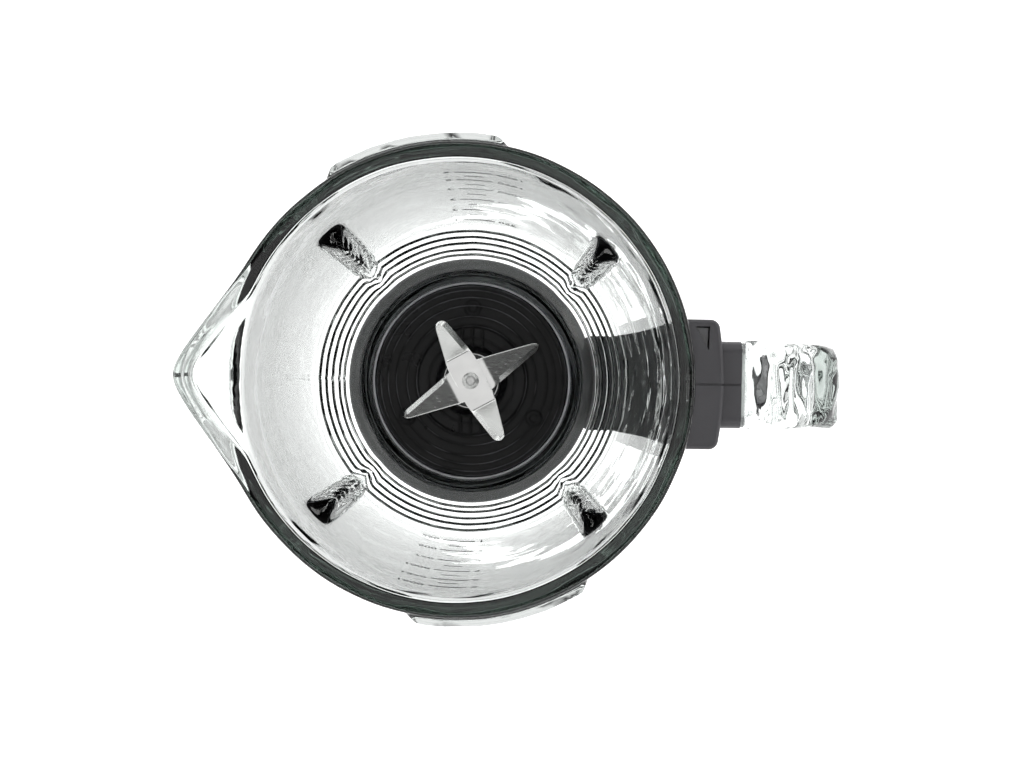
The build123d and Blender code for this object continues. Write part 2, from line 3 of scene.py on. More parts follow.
import bpy
import numpy as np
from bpy.props import FloatProperty, FloatVectorProperty, IntProperty, PointerProperty
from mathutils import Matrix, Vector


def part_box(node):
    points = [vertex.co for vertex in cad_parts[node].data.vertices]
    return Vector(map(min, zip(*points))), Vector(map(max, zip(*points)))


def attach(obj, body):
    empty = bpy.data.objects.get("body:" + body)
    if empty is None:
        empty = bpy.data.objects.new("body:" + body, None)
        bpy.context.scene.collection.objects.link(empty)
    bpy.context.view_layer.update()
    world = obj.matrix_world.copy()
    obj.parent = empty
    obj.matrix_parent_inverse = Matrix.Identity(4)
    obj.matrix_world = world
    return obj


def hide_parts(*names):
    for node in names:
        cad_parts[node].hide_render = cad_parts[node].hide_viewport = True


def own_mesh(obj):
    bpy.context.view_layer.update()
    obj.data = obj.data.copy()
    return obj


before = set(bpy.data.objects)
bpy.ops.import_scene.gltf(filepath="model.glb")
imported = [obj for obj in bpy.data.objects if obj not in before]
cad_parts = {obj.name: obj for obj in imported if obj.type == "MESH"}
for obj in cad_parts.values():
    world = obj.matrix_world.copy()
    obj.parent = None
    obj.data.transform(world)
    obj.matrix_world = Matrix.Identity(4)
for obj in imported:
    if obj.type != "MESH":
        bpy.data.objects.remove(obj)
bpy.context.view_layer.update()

bl_info = {
    "name": "Glass blender jug",
    "version": (1, 0, 0),
    "blender": (4, 5, 0),
    "location": "3D View > Sidebar > Blender jug",
    "description": "Builds the glass jug, its blade unit and its stage round the CAD frame",
    "category": "Object",
}

MM = 0.001
JUG_LOW, JUG_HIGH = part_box("jug_glass")
SLEEVE_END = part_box("housing_half_left")[1].x


# ---------------------------------------------------------------- numpy helpers


def ease(low, high, x):
    """A smooth step: 0 below low, 1 above high, and 3t^2 - 2t^3 between them."""
    t = np.clip((x - low) / (high - low), 0.0, 1.0)
    return t * t * (3.0 - 2.0 * t)


def soft_max(a, b, blend):
    """The larger of a and b, with a round fillet of about blend where they cross."""
    return 0.5 * (a + b + np.sqrt((a - b) ** 2 + blend * blend))


def angle_from(angle, centre):
    """The signed angle from centre, wrapped to between -pi and pi."""
    return (angle - centre + pi) % (2 * pi) - pi


def ripple(seed, count, a, b, longest, shortest):
    """A smooth random field over a and b, about -1 to 1: the mean of count sine waves
    with random directions and phases and wavelengths between longest and shortest."""
    draw = np.random.default_rng(seed)
    total = np.zeros(np.broadcast(a, b).shape)
    for _ in range(count):
        wave = draw.uniform(shortest, longest)
        heading, phase = draw.uniform(0, 2 * pi, 2)
        total += np.sin(2 * pi * (a * cos(heading) + b * sin(heading)) / wave + phase)
    return total / np.sqrt(count)


def rounded(points, step):
    """An outline through points (r, z, radius): each corner is a quadratic arc that starts and
    ends radius away from it, and each straight run is cut into pieces no longer than step."""
    pts = np.array([p[:2] for p in points], float)
    radii = [p[2] if len(p) > 2 else 0.0 for p in points]
    last = len(pts) - 1
    out = [pts[:1]]
    for i in range(1, last + 1):
        here = pts[i]
        back = pts[i - 1] - here
        reach = 0.0 if i == last else radii[i]
        if reach:
            ahead = pts[i + 1] - here
            reach = min(reach, 0.48 * np.hypot(*back), 0.48 * np.hypot(*ahead))
        enter = here + back / np.hypot(*back) * reach
        run = out[-1][-1]
        pieces = max(1, int(np.ceil(np.hypot(*(enter - run)) / step)))
        out.append(run + (enter - run) * np.linspace(0, 1, pieces + 1)[1:, None])
        if reach:
            leave = here + ahead / np.hypot(*ahead) * reach
            t = np.linspace(0, 1, 6)[1:, None]
            out.append((1 - t) ** 2 * enter + 2 * t * (1 - t) * here + t * t * leave)
    return np.concatenate(out)


def crowded_angles(count, places):
    """Angles round the full circle, closer together near each (centre, spread, extra) place:
    the inverse of the summed density 1 + extra * exp(-(angle / spread)^2)."""
    fine = np.linspace(0, 2 * pi, 20001)
    density = np.ones_like(fine)
    for centre, spread, extra in places:
        density += extra * np.exp(-((angle_from(fine, centre) / spread) ** 2))
    total = np.concatenate([[0.0], np.cumsum(0.5 * (density[1:] + density[:-1]))])
    return np.interp(np.arange(count) / count * total[-1], total, fine)


def mesh_from(name, verts, loops, sizes, smooth):
    """A mesh from its vertices, its faces' corners in turn, and each face's size and smoothness."""
    mesh = bpy.data.meshes.new(name)
    mesh.vertices.add(len(verts))
    mesh.vertices.foreach_set("co", verts.astype(np.float32).ravel())
    mesh.loops.add(len(loops))
    mesh.loops.foreach_set("vertex_index", loops.astype(np.int32))
    starts = np.concatenate([[0], np.cumsum(sizes)[:-1]])
    mesh.polygons.add(len(sizes))
    mesh.polygons.foreach_set("loop_start", starts.astype(np.int32))
    mesh.polygons.foreach_set("use_smooth", smooth)
    mesh.update(calc_edges=True)
    mesh.validate()
    return mesh


def grid_mesh(name, points, wrap_u, wrap_v, smooth=True, cap_u=False):
    """A mesh from a grid of points (u, v, xyz). Quads run u then v, so a face's normal is du x dv.
    wrap joins the last row to the first. cap closes both ends with a fan about the end's centre."""
    nu, nv = points.shape[:2]
    verts = points.reshape(-1, 3)
    index = np.arange(nu * nv).reshape(nu, nv)
    iu = np.concatenate([index, index[:1]]) if wrap_u else index
    full = np.concatenate([iu, iu[:, :1]], axis=1) if wrap_v else iu
    quads = np.stack([full[:-1, :-1], full[1:, :-1], full[1:, 1:], full[:-1, 1:]], axis=-1).reshape(-1, 4)
    fans = [np.zeros((0, 3), int)]
    for ring, flip in ((full[0], True), (full[-1], False)) if cap_u else ():
        centre = len(verts)
        verts = np.concatenate([verts, verts[ring[:-1]].mean(axis=0)[None]])
        a, b = (ring[1:], ring[:-1]) if flip else (ring[:-1], ring[1:])
        fans.append(np.stack([b, a, np.full(len(a), centre)], axis=-1))
    tris = np.concatenate(fans)
    loops = np.concatenate([quads.ravel(), tris.ravel()])
    sizes = np.concatenate([np.full(len(quads), 4), np.full(len(tris), 3)])
    return mesh_from(name, verts, loops, sizes, np.full(len(sizes), smooth))


def painted(mesh, material):
    """Gives a mesh one material and no other."""
    mesh.materials.clear()
    mesh.materials.append(material)


def place(name, mesh, body, material, slot, *replaced):
    """Puts a finished mesh in the scene as a piece that rides on body and stands for CAD nodes."""
    piece = bpy.data.objects.new(name, mesh)
    bpy.context.collection.objects.link(piece)
    painted(mesh, material)
    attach(piece, body)
    if replaced:
        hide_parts(*replaced)
    return piece


def turned(name, outline, angles, shape=None):
    """A turned piece: outline (r, z) in mm, running up outside and down inside, carried round
    the axis. shape(angle, r, z) may return changed r and z, so that the section varies."""
    a, r = np.meshgrid(angles, outline[:, 0], indexing="ij")
    z = np.broadcast_to(outline[:, 1], r.shape)
    if shape:
        r, z = shape(a, r, z)
    points = np.stack([r * np.cos(a), r * np.sin(a), z], axis=-1) * MM
    return grid_mesh(name, points, True, True)


def even_angles(count):
    """Evenly spaced angles round the circle."""
    return np.arange(count) / count * 2 * pi


def joined(name, meshes):
    """One mesh from several, with their vertices and faces one after another."""
    verts, loops, sizes, smooth = [], [], [], []
    offset = 0
    for mesh in meshes:
        co = np.empty(len(mesh.vertices) * 3, np.float32)
        mesh.vertices.foreach_get("co", co)
        li = np.empty(len(mesh.loops), np.int32)
        mesh.loops.foreach_get("vertex_index", li)
        total = np.empty(len(mesh.polygons), np.int32)
        mesh.polygons.foreach_get("loop_total", total)
        flag = np.empty(len(mesh.polygons), bool)
        mesh.polygons.foreach_get("use_smooth", flag)
        verts.append(co.reshape(-1, 3))
        loops.append(li + offset)
        sizes.append(total)
        smooth.append(flag)
        offset += len(mesh.vertices)
    return mesh_from(name, *(np.concatenate(rows) for rows in (verts, loops, sizes, smooth)))


# ---------------------------------------------------------------- materials


class Finish:
    """A material being built: its node tree, its shader and short ways to add nodes."""

    def __init__(self, name, **sockets):
        self.material = bpy.data.materials.new(name)
        self.material.use_nodes = True
        self.tree = self.material.node_tree
        self.shader = next(n for n in self.tree.nodes if n.type == "BSDF_PRINCIPLED")
        self.output = next(n for n in self.tree.nodes if n.type == "OUTPUT_MATERIAL")
        self.coords = self.node("ShaderNodeTexCoord")
        for socket, value in sockets.items():
            self.shader.inputs[socket.replace("_", " ")].default_value = value

    @classmethod
    def of(cls, material):
        """A finish that goes on from a material already made."""
        made = cls.__new__(cls)
        made.material, made.tree = material, material.node_tree
        made.shader = next(n for n in made.tree.nodes if n.type == "BSDF_PRINCIPLED")
        made.coords = next(n for n in made.tree.nodes if n.type == "TEX_COORD")
        return made

    def node(self, kind, **inputs):
        """A new node with the named input values set."""
        made = self.tree.nodes.new(kind)
        for socket, value in inputs.items():
            made.inputs[socket.replace("_", " ")].default_value = value
        return made

    def link(self, source, target):
        """A link from one node's output to another's input."""
        self.tree.links.new(source, target)

    def noise(self, scale, detail=3.0, stretch=(1, 1, 1), turn=0.0, rough=0.5):
        """Noise on Object coordinates, stretched along an axis that is turned about Z."""
        mapping = self.node("ShaderNodeMapping", Scale=stretch, Rotation=(0, 0, -turn))
        self.link(self.coords.outputs["Object"], mapping.inputs["Vector"])
        noise = self.node("ShaderNodeTexNoise", Scale=scale, Detail=detail, Roughness=rough)
        self.link(mapping.outputs["Vector"], noise.inputs["Vector"])
        return noise.outputs["Fac"]

    def between(self, factor, low, high, start=0.3, end=0.7):
        """A number that runs from low to high as factor runs from start to end."""
        spread = self.node("ShaderNodeMapRange", From_Min=start, From_Max=end, To_Min=low, To_Max=high)
        self.link(factor, spread.inputs["Value"])
        return spread.outputs["Result"]

    def rough(self, factor, low, high):
        """A roughness that runs from low to high with factor."""
        self.link(self.between(factor, low, high), self.shader.inputs["Roughness"])

    def radius(self):
        """The distance from the Z axis, in metres, on Object coordinates."""
        flat = self.node("ShaderNodeMapping", Scale=(1, 1, 0))
        self.link(self.coords.outputs["Object"], flat.inputs["Vector"])
        length = self.node("ShaderNodeVectorMath")
        length.operation = "LENGTH"
        self.link(flat.outputs["Vector"], length.inputs[0])
        return length.outputs["Value"]

    def shades(self, factor, low, high, start=0.3, end=0.7):
        """A colour that runs from low to high as factor runs from start to end."""
        ramp = self.node("ShaderNodeValToRGB")
        for stop, position, colour in zip(ramp.color_ramp.elements, (start, end), (low, high)):
            stop.position, stop.color = position, (*colour, 1)
        self.link(factor, ramp.inputs["Fac"])
        self.link(ramp.outputs["Color"], self.shader.inputs["Base Color"])

    def bump(self, factor, strength, distance):
        """A bump of the given depth in metres."""
        bump = self.node("ShaderNodeBump", Strength=strength, Distance=distance)
        self.link(factor, bump.inputs["Height"])
        if self.shader.inputs["Normal"].is_linked:
            self.link(self.shader.inputs["Normal"].links[0].from_socket, bump.inputs["Normal"])
        self.link(bump.outputs["Normal"], self.shader.inputs["Normal"])


def scaled(colour, factor):
    """A colour made lighter or darker."""
    return tuple(min(1.0, c * factor) for c in colour)


def pressed_glass(name, colour, absorption):
    """Clear pressed glass, slightly green through its depth, with faint hand marks in its gloss."""
    finish = Finish(name, Base_Color=(*colour, 1), Roughness=0.0, IOR=1.5)
    finish.shader.inputs["Transmission Weight"].default_value = 1.0
    depth = finish.node("ShaderNodeVolumeAbsorption", Color=(0.10, 0.20, 0.15, 1), Density=absorption)
    finish.link(depth.outputs["Volume"], finish.output.inputs["Volume"])
    finish.bump(finish.noise(55.0, 2.0), 0.05, 0.0006)
    return finish.material


def moulded_plastic(name, colour, grain, roughness, gloss=0.5):
    """Moulded plastic: a fine spark-eroded grain, with cloudy changes of shade and gloss."""
    finish = Finish(name, IOR=1.5, Specular_IOR_Level=gloss)
    cloud = finish.noise(28.0, 4.0)
    finish.shades(cloud, scaled(colour, 0.82), scaled(colour, 1.2))
    finish.rough(cloud, roughness * 0.85, roughness * 1.2)
    finish.bump(finish.noise(grain, 2.0), 0.25, 0.00012)
    return finish.material


def ringed_plastic(name, colour, ring_highlight, rings):
    """Black moulded plastic whose raised rings carry painted highlights in patches: a ramp on the distance
    from the axis picks out each ring, and a cloud decides how far the painted highlight shows. The ramp also
    paints the middle, inside the hub web, a little paler."""
    material = moulded_plastic(name, colour, 2400.0, 0.30, 0.2)
    finish = Finish.of(material)
    reach, middle_level, half_width = 40.0, 0.06, 0.35
    scale = finish.between(finish.radius(), 0.0, 1.0, 0.0, reach * MM)
    ramp = finish.node("ShaderNodeValToRGB")
    stops = ramp.color_ramp.elements
    stops[1].color = (0, 0, 0, 1)
    stops[0].color = (*[middle_level] * 3, 1)
    stops.new((HUB_WEB_R - 1.0) / reach).color = (*[middle_level] * 3, 1)
    for ring in rings:
        for offset, level in ((-half_width, 0.0), (0.0, 1.0), (half_width, 0.0)):
            stops.new((ring + offset) / reach).color = (level, level, level, 1)
    finish.link(scale, ramp.inputs["Fac"])
    patches = finish.between(finish.noise(45.0, 2.0), 0.0, 1.0, 0.42, 0.62)
    amount = finish.node("ShaderNodeMath")
    amount.operation = "MULTIPLY"
    finish.link(ramp.outputs["Color"], amount.inputs[0])
    finish.link(patches, amount.inputs[1])
    mix = finish.node("ShaderNodeMix")
    mix.data_type = "RGBA"
    # The pale colour of the painted highlights on the rings.
    mix.inputs["B"].default_value = (*ring_highlight, 1)
    finish.link(amount.outputs[0], mix.inputs["Factor"])
    finish.link(finish.shader.inputs["Base Color"].links[0].from_socket, mix.inputs["A"])
    finish.link(mix.outputs["Result"], finish.shader.inputs["Base Color"])
    return material


def ground_steel(name, colour, turn, roughness=0.22):
    """Ground stainless steel: fine scratches along one direction and a faint clouding."""
    finish = Finish(name, Metallic=1.0)
    scratches = finish.noise(1500.0, 3.0, (0.03, 1.0, 1.0), turn)
    cloud = finish.noise(70.0, 3.0)
    finish.shades(cloud, scaled(colour, 0.92), scaled(colour, 1.06))
    finish.rough(scratches, roughness * 0.85, roughness * 1.25)
    finish.bump(scratches, 0.02, 0.00001)
    return finish.material


def turned_metal(name, colour, roughness=0.28):
    """Metal turned on a lathe: fine rings round the axis, as scratches that follow its height."""
    finish = Finish(name, Metallic=1.0)
    rings = finish.noise(700.0, 2.0, (0.02, 0.02, 1.0))
    cloud = finish.noise(90.0, 3.0)
    finish.shades(cloud, scaled(colour, 0.88), scaled(colour, 1.08))
    finish.rough(rings, roughness * 0.7, roughness * 1.4)
    finish.bump(rings, 0.2, 0.00004)
    return finish.material


def seal_rubber(name, colour, clear=0.0):
    """Soft rubber: matt, with a fine bloom. A clear one lets some light through."""
    finish = Finish(name, IOR=1.42)
    finish.shader.inputs["Transmission Weight"].default_value = clear
    bloom = finish.noise(140.0, 4.0)
    finish.shades(bloom, scaled(colour, 0.85), scaled(colour, 1.15))
    finish.rough(bloom, 0.5, 0.72)
    finish.bump(finish.noise(1500.0, 2.0), 0.2, 0.00006)
    return finish.material


def printed_ink(colour):
    """Baked ceramic ink, slightly worn and uneven in its shade."""
    finish = Finish("scale_ink", Roughness=0.6)
    finish.shades(finish.noise(400.0, 4.0), scaled(colour, 0.8), scaled(colour, 1.25))
    return finish.material


# ---------------------------------------------------------------- settings


class JugSizes(bpy.types.PropertyGroup):
    """Sizes of the glass, in millimetres from the jug's axis and its foot."""

    rim_radius: FloatProperty(name="Rim radius", description="Outside of the rim bead", default=72.0)
    seat_radius: FloatProperty(name="Lid seat radius", description="Inside of the rim", default=66.7)
    wall: FloatProperty(name="Wall", description="Thickness of the tapered wall", default=4.3)
    rib_height: FloatProperty(name="Rib height", description="How far a rib stands in", default=4.2)
    rib_width: FloatProperty(name="Rib width", description="Width of a rib at its foot", default=10.0)
    waviness: FloatProperty(name="Waviness", description="Uneven flow of the pressed glass", default=0.05)
    around: IntProperty(name="Divisions round", description="Grid divisions round the jug", default=335)


class Colours(bpy.types.PropertyGroup):
    """Colours of the finishes."""

    glass: FloatVectorProperty(name="Glass", description="Tint of the glass", subtype="COLOR",
                               default=(0.985, 0.995, 0.99))
    absorption: FloatProperty(name="Absorption", description="Depth of the green tint, per metre",
                              default=17.0)
    housing: FloatVectorProperty(name="Housing", description="Dark grey plastic", subtype="COLOR",
                                 default=(0.085, 0.083, 0.090))
    black: FloatVectorProperty(name="Black parts", description="Black plastic", subtype="COLOR",
                               default=(0.006, 0.006, 0.0065))
    pale: FloatVectorProperty(name="Interlock parts", description="Light grey plastic", subtype="COLOR",
                              default=(0.45, 0.45, 0.46))
    steel: FloatVectorProperty(name="Steel", description="Stainless steel", subtype="COLOR",
                               default=(0.74, 0.74, 0.73))
    bronze: FloatVectorProperty(name="Bronze", description="Sintered bushes", subtype="COLOR",
                                default=(0.52, 0.34, 0.17))
    rubber: FloatVectorProperty(name="Rubber", description="Grey seals", subtype="COLOR",
                                default=(0.10, 0.10, 0.104))
    ink: FloatVectorProperty(name="Scale ink", description="Printed scale", subtype="COLOR",
                             default=(0.02, 0.02, 0.021))


class StageSettings(bpy.types.PropertyGroup):
    """Camera and light."""

    camera_height: FloatProperty(name="Camera height", description="Above the surface", unit="LENGTH",
                                 default=0.714)
    camera_x: FloatProperty(name="Camera X", description="Towards the handle", unit="LENGTH", default=0.0167)
    camera_y: FloatProperty(name="Camera Y", description="Across the handle", unit="LENGTH", default=-0.001)
    camera_turn: FloatProperty(name="Camera turn", description="Roll about the line of sight",
                               subtype="ANGLE", default=radians(1.1))
    lens: FloatProperty(name="Lens", description="Focal length in millimetres", default=58.6)
    floor_glow: FloatProperty(name="Floor glow", description="Light given by the pale surface", default=1.2)
    sky: FloatProperty(name="Overhead light", description="Strength of the light overhead", default=1.0)


# ---------------------------------------------------------------- glass

SPOUT_ANGLE, SPOUT_SOFTNESS = pi, 0.06
SPOUT_FOOT_Z, SPOUT_EDGE_Z, CHANNEL_FOOT_Z = 192.0, 203.0, 202.0
RIB_ANGLES = [radians(a) for a in (43.5, 133.5, 223.5, 313.5)]
RIB_FOOT_Z, RIB_TOP_Z = 40.0, 160.0
FLANGE_RANGES = ((radians(79), radians(124)), (radians(259), radians(304)))
WALL_FOOT_Z, WALL_FOOT_R, WALL_TOP_R, WALL_CURVE = 56.0, 64.0, 71.2, 45.0
STEP_RADII = (53.0, 54.5, 57.0, 59.5, 62.0)
STEP_HEIGHTS = (33.0, 36.0, 39.0, 43.0, 47.5)
NECK_R, NECK_BORE_R, NECK_BOTTOM_Z, NECK_TOP_Z = 46.0, 41.0, 16.0, 31.4
THREAD_PITCH, THREAD_DEPTH = 5.0, 0.7
BEAD_FOOT_Z, SEAT_FOOT_Z = 202.6, 192.0
FLANGE_OUT, SEAM_OUT = 3.2, 0.45
RIM_Z = JUG_HIGH.z / MM
SPOUT_TIP = -JUG_LOW.x / MM
ARM_TOP_Z, ARM_LOW_Z, GRIP_DEPTH, GRIP_BEND_R = 189.0, 60.0, 13.0, 13.0
ROOT_TOP_X, ROOT_LOW_X, SHOULDER_RUN = 70.6, 64.6, 0.9
SHOULDER_X = SLEEVE_END / MM + 1.4
ROOT_HALF, ARM_HALF = (9.7, 5.9), (14.2, 6.8)


def wall_radius(z):
    """Outside of the tapered wall: it nears its top radius exponentially with height."""
    return WALL_TOP_R - (WALL_TOP_R - WALL_FOOT_R) * np.exp(-(z - WALL_FOOT_Z) / WALL_CURVE)


def vee_radius(angle, apex, half_angle):
    """Distance from the axis to a V that points along the spout: by the sine rule,
    apex * sin(half) / sin(half + |angle|), with its tip rounded by softening |angle|."""
    off = np.sqrt(angle_from(angle, SPOUT_ANGLE) ** 2 + SPOUT_SOFTNESS**2)
    off = np.minimum(off, radians(80))
    return apex * sin(half_angle) / np.sin(half_angle + off)


def spout_growth(angle, z, inside):
    """How far the spout takes the wall outwards, for the outside (inside = 0) or the channel (1).
    Both are Vs that lean out of the wall below the rim, as a shallow pouring lip; the channel's
    floor is gentle up to 0.42 of its height, and steep above that."""
    rise = np.clip((z - SPOUT_FOOT_Z) / (SPOUT_EDGE_Z - SPOUT_FOOT_Z), 0.0, 1.0) ** 0.9
    outer = vee_radius(angle, 66.0 + (1.045 * SPOUT_TIP - 66.0) * rise, radians(52.0))
    base_outer = np.minimum(wall_radius(z), 72.0)
    grown_outer = soft_max(base_outer, outer, 1.2) - base_outer
    up = np.clip((z - CHANNEL_FOOT_Z) / (RIM_Z - CHANNEL_FOOT_Z), 0.0, 1.0)
    dip = 0.86 * np.minimum(up / 0.42, 1.0) ** 0.7 + 0.14 * np.clip((up - 0.42) / 0.58, 0.0, 1.0)
    inner = vee_radius(angle, 64.0 + (0.979 * SPOUT_TIP - 64.0) * dip, radians(50.0))
    base_inner = wall_radius(z) - 4.2
    grown_inner = soft_max(base_inner, inner, 1.0) - base_inner
    near = ease(radians(46), radians(32), np.abs(angle_from(angle, SPOUT_ANGLE)))
    grown_outer = grown_outer * ease(SPOUT_FOOT_Z - 1.0, SPOUT_FOOT_Z + 3.0, z)
    grown_inner = grown_inner * ease(CHANNEL_FOOT_Z - 0.5, CHANNEL_FOOT_Z + 3.0, z)
    return near * (grown_outer * (1 - inside) + grown_inner * inside)


def jug_outline(sizes):
    """The jug's section as a closed outline, with the share of each point that is inside (0 to 1)."""
    outer = [(NECK_BORE_R + 0.6, NECK_BOTTOM_Z, 0.5), (NECK_R, NECK_BOTTOM_Z, 0.8), (NECK_R, NECK_TOP_Z, 0.8)]
    for i, (r, z) in enumerate(zip(STEP_RADII, STEP_HEIGHTS)):
        top = STEP_HEIGHTS[i + 1] if i + 1 < len(STEP_HEIGHTS) else z + 4.5
        lean = 0.28 * ((*STEP_RADII, WALL_FOOT_R)[i + 1] - r)
        outer += [(r, z, 0.9), (r + lean, top, 0.9)]
    outer = rounded(outer + [(WALL_FOOT_R, WALL_FOOT_Z)], 1.4)
    heights = np.concatenate([np.arange(WALL_FOOT_Z + 2.5, 140.0, 3.5), np.arange(140.0, 188.0, 3.0),
                              np.arange(188.0, 202.5, 1.0)])
    wall = np.stack([wall_radius(heights), heights], axis=-1)
    bead_r, seat_r = sizes.rim_radius, sizes.seat_radius
    bead = rounded([(wall_radius(BEAD_FOOT_Z), BEAD_FOOT_Z), (bead_r, BEAD_FOOT_Z + 1.4, 0.9),
                    (bead_r, RIM_Z, 2.4), (seat_r, RIM_Z, 0.8),
                    (wall_radius(SEAT_FOOT_Z) - sizes.wall, SEAT_FOOT_Z)], 0.75)
    inner_heights = np.concatenate([np.arange(190.5, 120.0, -2.5), np.arange(120.0, WALL_FOOT_Z + 1.5, -3.0)])
    inner_wall = np.stack([wall_radius(inner_heights) - sizes.wall, inner_heights], axis=-1)
    floor = rounded([(WALL_FOOT_R - sizes.wall, WALL_FOOT_Z), (56.0, 46.0, 6.0), (50.0, 38.5, 5.0),
                     (44.0, 33.0, 4.0), (NECK_BORE_R, 29.0, 2.0), (NECK_BORE_R, NECK_BOTTOM_Z + 0.4)], 2.0)
    outline = np.concatenate([outer, wall, bead, inner_wall, floor])
    lip = ease(bead_r - 0.2, seat_r + 0.2, bead[:, 0])
    after_lip = np.maximum.accumulate(lip)
    inside = np.concatenate([np.zeros(len(outer) + len(wall)), after_lip,
                             np.ones(len(inner_wall) + len(floor))])
    return outline, inside


def jug_mesh(sizes):
    """The jug: its section turned about the axis, then moved outwards by the spout and the lid
    flanges, inwards by the ribs, and a little everywhere by the flow of the pressed glass."""
    outline, inside = jug_outline(sizes)
    places = [(a, radians(5.5), 3.2) for a in RIB_ANGLES] + [(SPOUT_ANGLE, radians(24), 1.4)]
    for start, end in FLANGE_RANGES:
        places += [(start, radians(2.0), 1.5), (end, radians(2.0), 1.5)]
    angles = crowded_angles(sizes.around, places)

    def shape(a, r, z):
        share = np.broadcast_to(inside, r.shape)
        moved = r + spout_growth(a, z, share)
        for start, end in FLANGE_RANGES:
            along = ease(start - 0.02, start + 0.05, a) * ease(end + 0.02, end - 0.05, a)
            band = ease(205.2, 206.6, z) * ease(211.4, 210.0, z)
            moved = moved + FLANGE_OUT * along * band * (1 - share)
        for centre in RIB_ANGLES:
            across = np.abs(angle_from(a, centre)) * r / (0.5 * sizes.rib_width)
            ridge = np.clip(1.0 - across, 0.0, 1.0)
            ridge = ridge * (1.6 - 0.6 * ridge)
            length = ease(RIB_FOOT_Z - 4.0, RIB_FOOT_Z + 16.0, z) * ease(RIB_TOP_Z + 3.0, RIB_TOP_Z - 30.0, z)
            grain = 1.0 + 0.10 * ripple(31, 8, a * 60.0, z * 0.35, 5.0, 1.6)
            moved = moved - sizes.rib_height * ridge * grain * length * (share > 0.99)
        flow = ripple(11, 14, a * 68.0, z, 46.0, 11.0) * (1 - share)
        flow = flow + ripple(12, 14, a * 64.0, z, 52.0, 13.0) * share
        still = ease(30.0, 60.0, z) * (0.14 + 0.86 * ease(188.0, 204.0, z))
        lead = np.cos(a + 2 * pi * z / THREAD_PITCH)
        screwed = ease(NECK_BOTTOM_Z + 1.0, NECK_BOTTOM_Z + 3.0, z) * ease(NECK_TOP_Z, NECK_TOP_Z - 2.0, z)
        moved = moved - THREAD_DEPTH * ease(-0.2, 0.6, lead) * screwed * (r < NECK_R + 1.0) * (1 - share)
        base = ease(31.0, 34.0, z)
        seam = SEAM_OUT * np.exp(-((angle_from(a, pi) * r / 0.7) ** 2)) * base * ease(120.0, 60.0, z)
        streak = 0.07 * ripple(13, 12, a * 55.0, z, 16.0, 6.0) * base * ease(62.0, 54.0, z)
        moved = moved + (seam + streak) * (1 - share)
        top = ease(211.0, 213.0, z) * ease(68.8, 70.6, r)
        z = z + 0.12 * top * ripple(14, 16, a * 70.0, r * 3.0, 30.0, 8.0)
        under = ease(202.0, 204.0, z) * ease(212.0, 209.0, z) * (1 - share)
        moved = moved + 0.10 * under * ripple(15, 12, a * 72.0, z * 2.0, 14.0, 5.0)
        return moved + sizes.waviness * flow * still, z

    return turned("jug_wall", outline, angles, shape)


def handle_path(count):
    """The handle's centre line in the XZ plane and its distance along: out from the upper root,
    round a bend, down the grip, round a bend and back to the lower root."""
    grip_x = JUG_HIGH.x / MM - GRIP_DEPTH / 2
    bend = GRIP_BEND_R
    out = np.array([[ROOT_TOP_X, ARM_TOP_Z], [SHOULDER_X, ARM_TOP_Z],
                    [SHOULDER_X + SHOULDER_RUN, ARM_TOP_Z], [grip_x - bend, ARM_TOP_Z]])
    turn = np.linspace(0, pi / 2, 26)[:, None]
    over = bend * np.concatenate([np.sin(turn), np.cos(turn)], 1)
    under = bend * np.concatenate([np.cos(turn), -np.sin(turn)], 1)
    upper = np.array([grip_x - bend, ARM_TOP_Z - bend]) + over
    lower = np.array([grip_x - bend, ARM_LOW_Z + bend]) + under
    back = np.array([[SHOULDER_X + SHOULDER_RUN, ARM_LOW_Z], [SHOULDER_X, ARM_LOW_Z],
                     [ROOT_LOW_X, ARM_LOW_Z]])
    line = np.concatenate([out, upper[1:], lower, back])
    gone = np.concatenate([[0], np.cumsum(np.hypot(*np.diff(line, axis=0).T))])
    shoulders = np.array([gone[1], gone[2], gone[-3], gone[-2]])
    steps = np.linspace(0, gone[-1], count)
    keep = np.sort(np.concatenate([steps, shoulders, shoulders - 0.25, shoulders + 0.25]))
    return np.stack([np.interp(keep, gone, line[:, 0]), np.interp(keep, gone, line[:, 1])], -1), keep


